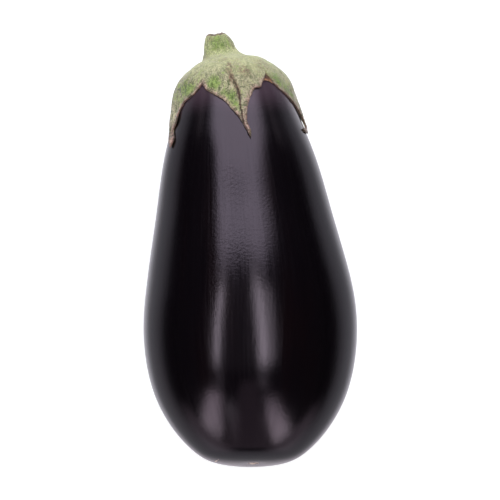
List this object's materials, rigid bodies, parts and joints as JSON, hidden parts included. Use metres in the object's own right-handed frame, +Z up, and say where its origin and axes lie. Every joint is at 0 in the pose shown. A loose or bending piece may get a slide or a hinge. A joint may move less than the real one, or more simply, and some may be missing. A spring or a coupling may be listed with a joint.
{
  "type": "eggplant",
  "caption": "Ripe globe eggplant lying on its side: a blunt, bell-shaped fruit with a narrow neck, a pointed-lobed calyx and a short cut stem.",
  "frame": {"origin": "on the resting surface, under the middle of the whole eggplant's bounding box", "axes": "+Z up from the resting surface, +Y along the fruit towards the stem, +X to the right seen from above with the stem away from the viewer"},
  "size_m": [0.0842, 0.1726, 0.0859],
  "materials": {
    "fruit_skin": "glossy, waxy, purple-black skin",
    "calyx": "dry, downy, pale grey-green with brown edges"
  },
  "bodies": {
    "root": {"fruit": "fruit_skin", "calyx": "calyx"}
  },
  "joints": []
}
